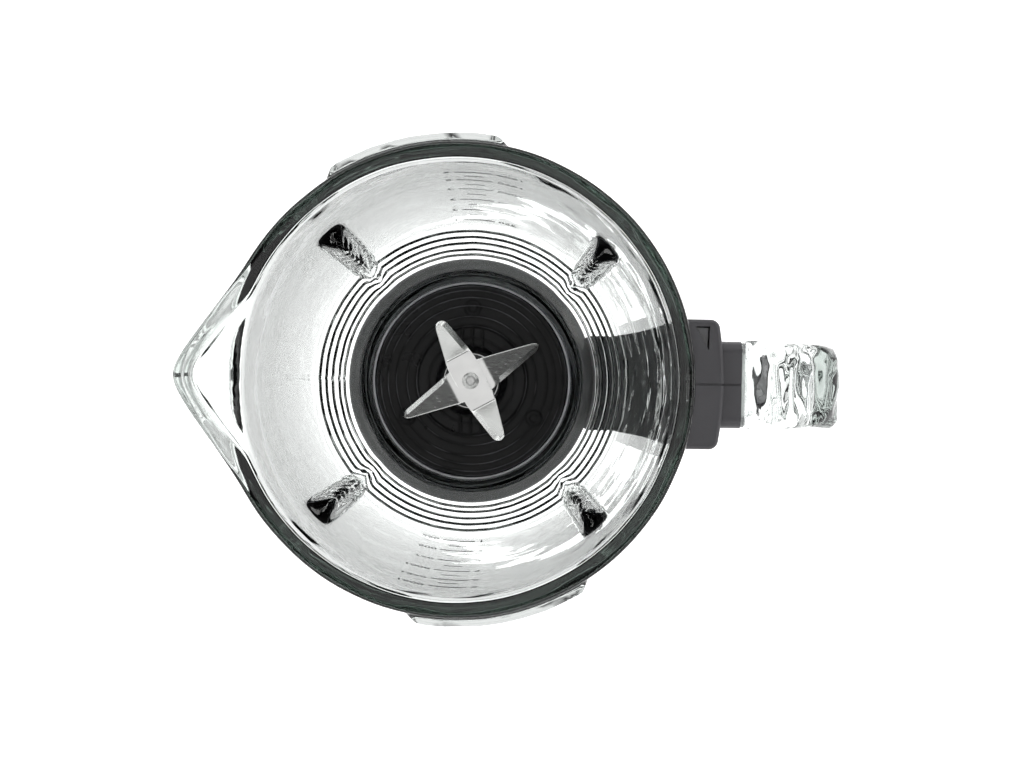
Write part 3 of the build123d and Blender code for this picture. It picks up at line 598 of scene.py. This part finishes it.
def handle_mesh():
    """The handle: a superellipse (|y/w|^n + |d/h|^n = 1) carried along the handle's line. It is
    narrow through the housing, shoulders out past the sleeve and thins a little at the grip."""
    line, gone = handle_path(250)
    ahead = np.gradient(line, gone, axis=0)
    ahead /= np.hypot(ahead[:, 0], ahead[:, 1])[:, None]
    side = np.stack([-ahead[:, 1], ahead[:, 0]], -1)
    past = ease(SHOULDER_X, SHOULDER_X + SHOULDER_RUN, line[:, 0])
    far = ease(94.0, 114.0, line[:, 0])
    half_width = ROOT_HALF[0] * (1 - past) + past * (ARM_HALF[0] - 0.9 * far)
    half_depth = ROOT_HALF[1] * (1 - past) + past * (ARM_HALF[1] - 0.3 * far)
    around = even_angles(104)
    power = 2.0 / 3.4
    wide = np.sign(np.cos(around)) * np.abs(np.cos(around)) ** power
    deep = np.sign(np.sin(around)) * np.abs(np.sin(around)) ** power
    s, t = np.meshgrid(gone, around * 8.0, indexing="ij")
    past = past[:, None]
    y = half_width[:, None] * wide * (1.0 + past * (0.022 * ripple(21, 10, s, t, 26.0, 9.0) - 0.02))
    lumps = 0.09 * ripple(22, 10, s, t, 20.0, 7.0) + 0.03 * ripple(23, 10, s, t, 7.0, 3.0) - 0.10
    lumps = lumps * (0.25 + 0.75 * ease(150.0, 172.0, line[:, 1, None]))
    d = half_depth[:, None] * deep * (1.0 + past * lumps)
    d = d + 0.28 * np.exp(-((y / 0.8) ** 2)) * np.sign(deep) * past
    x = line[:, 0, None] + side[:, 0, None] * d
    z = line[:, 1, None] + side[:, 1, None] * d
    points = np.stack([x, y, z], axis=-1)[:, ::-1] * MM
    return grid_mesh("jug_handle", points, False, True, cap_u=True)


class JUG_OT_glass(bpy.types.Operator):
    """Make the glass jug and its handle."""

    bl_idname = "jug.glass"
    bl_label = "Glass jug"

    def execute(self, context):
        sizes, colours = context.scene.jug_sizes, context.scene.jug_colours
        glass = pressed_glass("wall_glass", colours.glass, colours.absorption)
        arm = pressed_glass("handle_glass", colours.glass, 0.4 * colours.absorption)
        place("jug_wall", jug_mesh(sizes), "jug", glass, "clear_glass", "jug_glass")
        place("jug_handle", handle_mesh(), "jug", arm, "clear_glass", "jug_glass")
        return {"FINISHED"}


# Each level's height in millimetres, and the numbers at its left and right ends
SCALE_LEVELS = ((68.0, "250", "1"), (88.0, "500", "2"), (111.0, "750", "3"), (136.0, "1000", "4"),
                (158.0, "1250", "5"), (176.0, "1500", "6"))
SCALE_ANGLES = (radians(87.5), radians(267.5))
INK_GAP, INK_DEPTH, BAR_CUTS = 0.12, 0.05, 24


def wrapped(points, centre):
    """Flat points (x, y, depth) in mm, laid round the outside of the wall about an angle."""
    x, z, depth = points[:, 0], points[:, 1], points[:, 2]
    r = wall_radius(z) + INK_GAP + depth
    a = centre + x / wall_radius(z)
    return np.stack([r * np.cos(a), r * np.sin(a), z], axis=-1) * MM


def scale_bar(x0, x1, z, thick, centre):
    """One printed line: a thin closed strip that follows the wall."""
    u = np.linspace(x0, x1, BAR_CUTS)
    half = thick / 2
    ring = np.tile([(-half, 0.0), (-half, INK_DEPTH), (half, INK_DEPTH), (half, 0.0)], (BAR_CUTS, 1))
    flat = np.stack([np.repeat(u, 4), z + ring[:, 0], ring[:, 1]], axis=-1)
    points = wrapped(flat, centre).reshape(BAR_CUTS, 4, 3)
    return grid_mesh("bar", points, False, True, smooth=False, cap_u=True)


def scale_number(text, x, z, size, centre, align):
    """One printed number, as font outlines laid round the wall."""
    curve = bpy.data.curves.new("number", "FONT")
    curve.body = text
    curve.size = size
    curve.extrude = INK_DEPTH / 2
    curve.offset = 0.12
    curve.resolution_u = 3
    curve.align_x = align
    curve.align_y = "CENTER"
    holder = bpy.data.objects.new("number", curve)
    mesh = bpy.data.meshes.new_from_object(holder)
    co = np.empty(len(mesh.vertices) * 3, np.float32)
    mesh.vertices.foreach_get("co", co)
    flat = co.reshape(-1, 3).astype(float) + np.array([x, z, INK_DEPTH / 2])
    mesh.vertices.foreach_set("co", wrapped(flat, centre).astype(np.float32).ravel())
    mesh.update()
    bpy.data.objects.remove(holder)
    return mesh


def scale_mesh(centre):
    """A printed measuring scale: long lines with numbers at both ends, short half lines between."""
    parts = []
    heights = [level[0] for level in SCALE_LEVELS]
    for z, left, right in SCALE_LEVELS:
        parts.append(scale_bar(-6.5, 6.5, z, 1.7, centre))
        parts.append(scale_number(left, -8.0, z, 5.0, centre, "RIGHT"))
        parts.append(scale_number(right, 8.0, z, 5.0, centre, "LEFT"))
    for low, high in zip(heights, heights[1:]):
        parts.append(scale_bar(-3.5, 3.5, (low + high) / 2, 1.5, centre))
    return joined("scale", parts)


class JUG_OT_scale(bpy.types.Operator):
    """Print the two measuring scales on the wall."""

    bl_idname = "jug.scale"
    bl_label = "Measuring scales"

    def execute(self, context):
        ink = printed_ink(context.scene.jug_colours.ink)
        for name, centre in zip(("scale_back", "scale_front"), SCALE_ANGLES):
            place(name, scale_mesh(centre), "jug", ink, "grey_plastic")
        return {"FINISHED"}


# ---------------------------------------------------------------- housing and interlock


def refinish(material, *nodes):
    """Gives CAD nodes whose shape stays a finished material."""
    for name in nodes:
        painted(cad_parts[name].data, material)


class JUG_OT_housing(bpy.types.Operator):
    """Finish the housing halves, their screws and the clear bands."""

    bl_idname = "jug.housing"
    bl_label = "Handle housing"

    def execute(self, context):
        colours = context.scene.jug_colours
        refinish(moulded_plastic("housing_plastic", colours.housing, 2600.0, 0.42),
                 "housing_half_left", "housing_half_right")
        clear = seal_rubber("band_silicone", (0.80, 0.83, 0.82), 0.75)
        refinish(clear, "handle_band_upper", "handle_band_lower")
        refinish(turned_metal("screw_steel", scaled(colours.steel, 0.5)), "housing_screws")
        return {"FINISHED"}


def coil_mesh(turns=7.5, wire=0.7):
    """The return spring: a round wire carried along a helix, its turns closer together in the middle than at
    the ends.
    """
    low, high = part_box("interlock_spring")
    centre = ((low + high) / 2) / MM
    radius = (high.x - low.x) / MM / 2 - wire / 2
    t = np.linspace(0, 1, 260)
    angle = t * turns * 2 * pi
    rise = t + 0.06 * np.sin(2 * pi * t)
    z0, z1 = low.z / MM + wire / 2, high.z / MM - wire / 2
    line = np.stack([centre.x + radius * np.cos(angle), centre.y + radius * np.sin(angle),
                     z0 + (z1 - z0) * rise], -1)
    ahead = np.gradient(line, axis=0)
    ahead /= np.linalg.norm(ahead, axis=1)[:, None]
    out = np.stack([np.cos(angle), np.sin(angle), np.zeros_like(angle)], -1)
    over = np.cross(ahead, out)
    around = even_angles(10)[None, :, None]
    points = line[:, None] + wire / 2 * (np.cos(around) * out[:, None] + np.sin(around) * over[:, None])
    return grid_mesh("spring_coil", points[:, ::-1] * MM, False, True, cap_u=True)


class JUG_OT_interlock(bpy.types.Operator):
    """Finish the lid interlock and wind its spring."""

    bl_idname = "jug.interlock"
    bl_label = "Lid interlock"

    def execute(self, context):
        colours = context.scene.jug_colours
        refinish(moulded_plastic("interlock_plastic", colours.pale, 2200.0, 0.4),
                 "interlock_pushrod", "interlock_cap")
        refinish(moulded_plastic("foot_plastic", colours.black, 2600.0, 0.36), "interlock_foot")
        wire = turned_metal("spring_wire", scaled(colours.steel, 0.8))
        coil = place("spring_coil", coil_mesh(), "interlock", wire, "screw_steel", "interlock_spring")
        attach(coil, "jug")
        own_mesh(coil)
        return {"FINISHED"}


# ---------------------------------------------------------------- blade unit

DISC_R, DISC_Z, SKIRT_R, SKIRT_Z = 39.7, 26.0, 36.5, 11.0
SEAT_R, SEAT_Z, UNDER_Z = 45.8, 14.2, 22.0
HUB_R, HUB_BORE_R, HUB_Z, HUB_FOOT_Z = 13.0, 9.0, 32.0, 13.5
BOSS_ANGLES, BOSS_CIRCLE_R = tuple(radians(a) for a in (90, 210, 330)), 30.0
HUB_WEB_R, DISC_RINGS = 22.6, (22.6, 26.6, 31.0, 34.4, 37.4, 39.2)
SEAL_R, SEAL_TOP_Z = 39.9, 26.3


def disc_mesh():
    """The black disc: its section turned, with raised rings, a shallow moulded web of ribs and
    three round bosses added to its top face as a height field."""
    skirt = rounded([(SKIRT_R, SKIRT_Z), (SEAT_R, SKIRT_Z, 0.5), (SEAT_R, SEAT_Z, 0.5),
                     (DISC_R, SEAT_Z, 0.4), (DISC_R, DISC_Z - 1.5)], 2.0)
    top_face = rounded([(DISC_R, DISC_Z - 1.5), (DISC_R, DISC_Z, 0.9), (HUB_R + 1.5, DISC_Z, 0.8),
                        (HUB_R - 1.0, HUB_Z, 0.6), (HUB_BORE_R, HUB_Z, 0.2),
                        (HUB_BORE_R, HUB_Z - 1.5)], 0.34)
    below = rounded([(HUB_BORE_R, HUB_Z - 1.5), (HUB_BORE_R, HUB_FOOT_Z, 0.2), (HUB_R, HUB_FOOT_Z, 0.2),
                     (HUB_R, UNDER_Z, 0.8), (SKIRT_R, UNDER_Z, 0.8), (SKIRT_R, SKIRT_Z + 0.4)], 2.0)
    outline = np.concatenate([skirt, top_face[1:], below[1:]])

    def shape(a, r, z):
        top = (z > DISC_Z - 0.6) & (r > HUB_R + 1.6) & (r < DISC_R - 0.6)
        lift = 0.4 * np.exp(-(((r - HUB_WEB_R) / 0.5) ** 2))
        for ring in (17.6, *DISC_RINGS[1:-1]):
            lift = lift + 0.2 * np.exp(-(((r - ring) / 0.3) ** 2))
        for centre in (pi / 2, -pi / 2):
            across = angle_from(a, centre) * r
            for offset in (-4.2, 0.0, 4.2):
                rib = np.exp(-(((across - offset) / 0.45) ** 2))
                lift = lift + 0.35 * rib * ease(14.0, 15.5, r) * ease(22.2, 21.4, r)
        for centre in BOSS_ANGLES:
            x, y = BOSS_CIRCLE_R * cos(centre), BOSS_CIRCLE_R * sin(centre)
            away = np.hypot(r * np.cos(a) - x, r * np.sin(a) - y)
            lift = lift + 0.4 * ease(3.5, 3.0, away) - 0.3 * ease(1.9, 1.5, away)
        return r, z + lift * top

    return turned("blade_disc", outline, even_angles(420), shape)


class JUG_OT_carrier(bpy.types.Operator):
    """Make the black disc and finish what it holds."""

    bl_idname = "jug.carrier"
    bl_label = "Blade carrier"

    def execute(self, context):
        colours = context.scene.jug_colours
        # The disc's rings get painted highlights in this pale colour.
        plastic = ringed_plastic("disc_plastic", colours.black, (0.13, 0.13, 0.14), DISC_RINGS)
        place("blade_disc", disc_mesh(), "carrier", plastic, "black_plastic", "blade_carrier")
        refinish(plastic, "carrier_base_plate")
        refinish(turned_metal("plate_screws", scaled(colours.steel, 0.85)), "carrier_screws")
        refinish(turned_metal("bearing_steel", scaled(colours.steel, 0.9)), "bearing_housing")
        refinish(turned_metal("bush_bronze", colours.bronze, 0.4), "upper_bush", "lower_bush")
        refinish(seal_rubber("shaft_seal_rubber", scaled(colours.rubber, 0.4)), "shaft_seal")
        lip_r, flat_z = SEAL_R + 0.9, SEAT_Z + 1.7
        seal = rounded([(SEAL_R, SEAT_Z), (SEAT_R, SEAT_Z, 0.5), (SEAT_R, flat_z, 0.7), (lip_r, flat_z, 0.3),
                        (lip_r, SEAL_TOP_Z, 0.4), (SEAL_R, SEAL_TOP_Z, 0.4), (SEAL_R, SEAT_Z + 0.3)], 0.4)
        # The seal is grey rubber painted much paler: partly its own light grey, partly a painted highlight,
        # so that its lip shows as the bright ring round the disc's edge.
        pale_rubber_painted_highlight = seal_rubber("jug_seal_painted_highlight", scaled(colours.rubber, 7.5))
        place("seal_ring", turned("seal_ring", seal, even_angles(220)), "carrier", pale_rubber_painted_highlight,
              "seal_rubber", "jug_seal")
        return {"FINISHED"}


COLLAR_R, COLLAR_BORE_R, COLLAR_TOP_Z, SPIGOT_R, SPIGOT_TOP_Z = 52.5, 46.4, 31.0, 50.5, 13.0
SKIRT_BORE_R, LEDGE_R, LEDGE_Z, LEDGE_TOP_Z = 46.5, 38.5, 5.0, 10.9
FOOT_RING_R, FOOT_RING_TOP_Z, FLUTES, FLUTE_DEPTH = 49.5, 1.2, 24, 1.0


def collar_mesh():
    """The screw collar: its section turned, with a grip of rounded scallops between two plain
    bands, and a bead round its foot."""
    outline = rounded([(SKIRT_BORE_R + 0.5, FOOT_RING_TOP_Z), (SPIGOT_R, FOOT_RING_TOP_Z, 0.3),
                       (SPIGOT_R, SPIGOT_TOP_Z, 0.4), (COLLAR_R, SPIGOT_TOP_Z, 0.8),
                       (COLLAR_R, COLLAR_TOP_Z, 1.4), (COLLAR_BORE_R, COLLAR_TOP_Z, 0.6),
                       (COLLAR_BORE_R, LEDGE_TOP_Z, 0.4), (LEDGE_R, LEDGE_TOP_Z, 0.6),
                       (LEDGE_R, LEDGE_Z, 0.6), (SKIRT_BORE_R, LEDGE_Z, 0.6),
                       (SKIRT_BORE_R, FOOT_RING_TOP_Z + 0.4)], 0.7)

    def shape(a, r, z):
        outside = r > COLLAR_R - 0.5
        grip = ease(15.2, 17.0, z) * ease(28.6, 26.8, z)
        wave = ease(0.1, 0.75, 0.5 - 0.5 * np.cos(FLUTES * a))
        return r - outside * FLUTE_DEPTH * grip * (1 - wave), z

    return turned("grip_collar", outline, even_angles(576), shape)


class JUG_OT_collar(bpy.types.Operator):
    """Make the screw collar and its foot ring."""

    bl_idname = "jug.collar"
    bl_label = "Screw collar"

    def execute(self, context):
        colours = context.scene.jug_colours
        # The collar's dark plastic is painted paler grey: painted light, standing in for the light that the
        # glass floor above it reflects over it.
        plastic = moulded_plastic("collar_plastic_painted_light", (0.135, 0.135, 0.138), 2000.0, 0.42)
        place("grip_collar", collar_mesh(), "collar", plastic, "black_plastic", "screw_collar")
        foot = rounded([(SKIRT_BORE_R, 0.0), (FOOT_RING_R, 0.0, 0.5), (FOOT_RING_R, FOOT_RING_TOP_Z, 0.2),
                        (SKIRT_BORE_R, FOOT_RING_TOP_Z, 0.2), (SKIRT_BORE_R, 0.3)], 0.3)
        rubber = seal_rubber("foot_rubber", scaled(colours.rubber, 0.5))
        place("foot_ring", turned("foot_ring", foot, even_angles(220)), "collar", rubber,
              "seal_rubber", "collar_foot_ring")
        return {"FINISHED"}


BLADE_Z, BLADE_THICK = 40.3, 1.5
UPPER_ANGLE, LOWER_ANGLE = radians(118.8), radians(28.5)


def blade_mesh(name, turn, length, fold, bend, lead, trail, z0, thick=BLADE_THICK, bevel=2.0):
    """A two-winged blade. Its section, flat with one ground edge, is carried along a line that
    turns by bend about each fold; its half widths run straight from root to tip, then close in
    a quarter ellipse. The two wings are the same, half a turn apart."""
    tip, fold_reach, ground, soft = 2.6, 1.1, 0.25, 0.18
    spread = np.linspace(0, 1, 150)
    s = length * np.concatenate([-(spread[::-1]), spread[1:]])
    near_tip = np.linspace(0, pi / 2, 14)
    tip_s = length - tip + tip * np.sin(near_tip)
    s = np.unique(np.concatenate([s[np.abs(s) < length - tip], tip_s, -tip_s]))
    slope = bend * ease(fold - fold_reach, fold + fold_reach, np.abs(s))
    step = np.diff(s, prepend=s[0])
    u = np.cumsum(np.cos(slope) * step)
    u -= u[np.argmin(np.abs(s))]
    half = np.abs(s)
    rise = np.sin(0.5 * (slope[1:] + slope[:-1])) * np.sign(s[1:]) * step[1:]
    climb = np.concatenate([[0], np.cumsum(rise)])
    climb -= climb[np.argmin(np.abs(s))]
    share = np.clip((half - fold * 0.7) / (length - fold * 0.7), 0, 1)
    wide_a = lead[0] + (lead[1] - lead[0]) * share
    wide_b = trail[0] + (trail[1] - trail[0]) * share
    close = np.sqrt(np.clip(1 - np.clip((half - (length - tip)) / tip, 0, 1) ** 2, 0, 1))
    middle = 0.5 * (wide_a - wide_b)
    span = 0.5 * (wide_a + wide_b) * close + 0.02
    left = np.where(s >= 0, middle + span, -(middle - span))
    right = np.where(s >= 0, middle - span, -(middle + span))
    edge = np.minimum(bevel * ease(fold - 2.0, fold + 3.0, half), 0.8 * (left - right))
    thin = thick - (thick - ground) * ease(fold - 2.0, fold + 3.0, half)
    blunt, blunt_thick = 0.3, thick - 0.15
    bevel_l, bevel_r = np.where(s >= 0, blunt, edge), np.where(s >= 0, edge, blunt)
    thin_l, thin_r = np.where(s >= 0, blunt_thick, thin), np.where(s >= 0, thin, blunt_thick)
    zero = np.zeros_like(s)
    full = zero + thick
    across = np.stack([right, right + soft, left - soft, left, left, left - bevel_l * 0.5, left - bevel_l,
                       0.5 * (left + right), right + bevel_r, right + bevel_r * 0.5, right], axis=-1)
    height = np.stack([zero + 0.12, zero, zero, zero + 0.12, thin_l, 0.5 * (thin_l + full), full,
                       full, full, 0.5 * (thin_r + full), thin_r], axis=-1)
    tilt = slope * np.sign(s)
    x = u[:, None] - np.sin(tilt)[:, None] * (height - thick / 2)
    z = z0 + thick / 2 + climb[:, None] + np.cos(tilt)[:, None] * (height - thick / 2)
    c, d = cos(turn), sin(turn)
    points = np.stack([x * c - across * d, x * d + across * c, z], axis=-1)[:, ::-1] * MM
    mesh = grid_mesh(name, points, False, True, cap_u=True)
    mesh.set_sharp_from_angle(angle=radians(18))
    return mesh


def rivet_mesh(z0):
    """The rivet head: a dome, closed below."""
    outline = rounded([(0.01, z0 + 0.02), (3.3, z0 + 0.02, 0.2), (3.3, z0 + 1.0, 0.8), (2.2, z0 + 2.3, 1.3),
                       (0.01, z0 + 2.5)], 0.25)
    return turned("rivet_head", outline, even_angles(72))


class JUG_OT_blades(bpy.types.Operator):
    """Make the two blades and the rivet, and finish the spindle parts."""

    bl_idname = "jug.blades"
    bl_label = "Blades"

    def execute(self, context):
        colours = context.scene.jug_colours
        lower = blade_mesh("lower_wings", LOWER_ANGLE, 32.0, 8.0, radians(-17), (6.6, 1.6), (7.0, 1.2),
                           BLADE_Z)
        upper = blade_mesh("upper_wings", UPPER_ANGLE, 30.4, 11.4, radians(40), (6.0, 2.2), (6.0, 2.2),
                           BLADE_Z + BLADE_THICK)
        for which, mesh, turn in (("lower", lower, LOWER_ANGLE), ("upper", upper, UPPER_ANGLE)):
            steel = ground_steel(f"{which}_steel", colours.steel, turn + pi / 2)
            place(f"{which}_wings", mesh, "rotor", steel, "blade_steel", f"{which}_blade")
        bright = turned_metal("rivet_steel", colours.steel, 0.36)
        rivet = rivet_mesh(BLADE_Z + 2 * BLADE_THICK)
        place("rivet_head", rivet, "rotor", bright, "turned_steel", "blade_rivet")
        refinish(turned_metal("spindle_steel", colours.steel), "spindle", "blade_spacer", "thrust_washer",
                 "retaining_clip", "coupling_insert")
        refinish(moulded_plastic("cap_plastic", colours.black, 2400.0, 0.36), "seal_cap")
        tough = moulded_plastic("coupling_plastic", scaled(colours.black, 1.4), 1800.0, 0.5)
        refinish(tough, "drive_coupling")
        return {"FINISHED"}


# ---------------------------------------------------------------- stage


def glowing_floor(glow):
    """A pale surface that gives light of its own round the middle, as a small light table does."""
    finish = Finish("pale_floor", Roughness=0.9)
    finish.shades(finish.noise(3.0, 2.0), (0.78, 0.78, 0.78), (0.82, 0.82, 0.82))
    finish.shader.inputs["Emission Color"].default_value = (1, 1, 1, 1)
    finish.link(finish.between(finish.radius(), glow, 0.2 * glow, 0.25, 0.55),
                finish.shader.inputs["Emission Strength"])
    finish.shader.inputs["Specular IOR Level"].default_value = 0.0
    return finish.material


def studio_world(strength):
    """Soft light from overhead over a dark horizon. What the camera sees directly is pale."""
    world = bpy.data.worlds.new("studio")
    world.use_nodes = True
    tree = world.node_tree
    tree.nodes.clear()
    kinds = ("TexCoord", "SeparateXYZ", "ValToRGB", "Background", "Background", "LightPath", "MixShader",
             "OutputWorld")
    coords, split, ramp, light, seen, path, mix, out = (tree.nodes.new("ShaderNode" + k) for k in kinds)
    stops = ((0.0, 0.04), (0.07, 0.06), (0.13, 0.95), (0.36, 0.95), (0.42, 1.9), (0.58, 1.9), (0.63, 0.08),
             (0.91, 0.08), (0.965, 0.97), (1.0, 0.97))
    elements = ramp.color_ramp.elements
    for element, (position, level) in zip(elements, (stops[0], stops[-1])):
        element.position, element.color = position, (level, level, level, 1)
    for position, level in stops[1:-1]:
        elements.new(position).color = (level, level, level, 1)
    light.inputs["Strength"].default_value = strength
    seen.inputs["Color"].default_value = (0.94, 0.94, 0.94, 1)
    for source, target in (
        (coords.outputs["Generated"], split.inputs["Vector"]), (split.outputs["Z"], ramp.inputs["Fac"]),
        (ramp.outputs["Color"], light.inputs["Color"]), (path.outputs["Is Camera Ray"], mix.inputs["Fac"]),
        (light.outputs["Background"], mix.inputs[1]), (seen.outputs["Background"], mix.inputs[2]),
        (mix.outputs["Shader"], out.inputs["Surface"]),
    ):
        tree.links.new(source, target)
    bpy.context.scene.world = world


class JUG_OT_stage(bpy.types.Operator):
    """Set out the pale surface, the soft light and the camera."""

    bl_idname = "jug.stage"
    bl_label = "Stage"

    def execute(self, context):
        settings = context.scene.jug_stage
        reach, level = 20.0, -0.0002
        corners = [(x * reach, y * reach, level) for x, y in ((-1, -1), (1, -1), (1, 1), (-1, 1))]
        mesh = bpy.data.meshes.new("floor")
        mesh.from_pydata(corners, [], [(0, 1, 2, 3)])
        mesh.materials.append(glowing_floor(settings.floor_glow))
        floor = bpy.data.objects.new("floor", mesh)
        context.collection.objects.link(floor)
        studio_world(settings.sky)
        camera = bpy.data.objects.new("camera", bpy.data.cameras.new("camera"))
        context.collection.objects.link(camera)
        camera.location = (settings.camera_x, settings.camera_y, settings.camera_height)
        camera.rotation_euler = (0, 0, settings.camera_turn)
        camera.data.lens = settings.lens
        camera.data.sensor_width = 36.0
        camera.data.clip_start = 0.01
        context.scene.camera = camera
        context.scene.view_settings.view_transform = "Standard"
        return {"FINISHED"}


# ---------------------------------------------------------------- panel and running

STEPS = (JUG_OT_glass, JUG_OT_scale, JUG_OT_housing, JUG_OT_interlock, JUG_OT_carrier, JUG_OT_collar,
         JUG_OT_blades, JUG_OT_stage)
GROUPS = {"jug_sizes": JugSizes, "jug_colours": Colours, "jug_stage": StageSettings}


class JUG_PT_panel(bpy.types.Panel):
    """Lists the steps that build the jug."""

    bl_idname = "JUG_PT_panel"
    bl_label = "Blender jug"
    bl_space_type = "VIEW_3D"
    bl_region_type = "UI"
    bl_category = "Blender jug"

    def draw(self, context):
        for step in STEPS:
            self.layout.operator(step.bl_idname)
        for group in GROUPS:
            settings = getattr(context.scene, group)
            for name in settings.bl_rna.properties.keys():
                if name not in ("rna_type", "name"):
                    self.layout.prop(settings, name)


def register():
    """Registers every class and adds the settings to the scene."""
    for made in (*GROUPS.values(), *STEPS, JUG_PT_panel):
        bpy.utils.register_class(made)
    for name, group in GROUPS.items():
        setattr(bpy.types.Scene, name, PointerProperty(type=group))


def unregister():
    """Takes the settings and the classes away again."""
    for name in GROUPS:
        delattr(bpy.types.Scene, name)
    for made in (JUG_PT_panel, *reversed(STEPS), *reversed(GROUPS.values())):
        bpy.utils.unregister_class(made)


def main():
    """Builds everything, in order."""
    register()
    for step in STEPS:
        area, name = step.bl_idname.split(".")
        getattr(getattr(bpy.ops, area), name)()


if __name__ == "__main__":
    main()
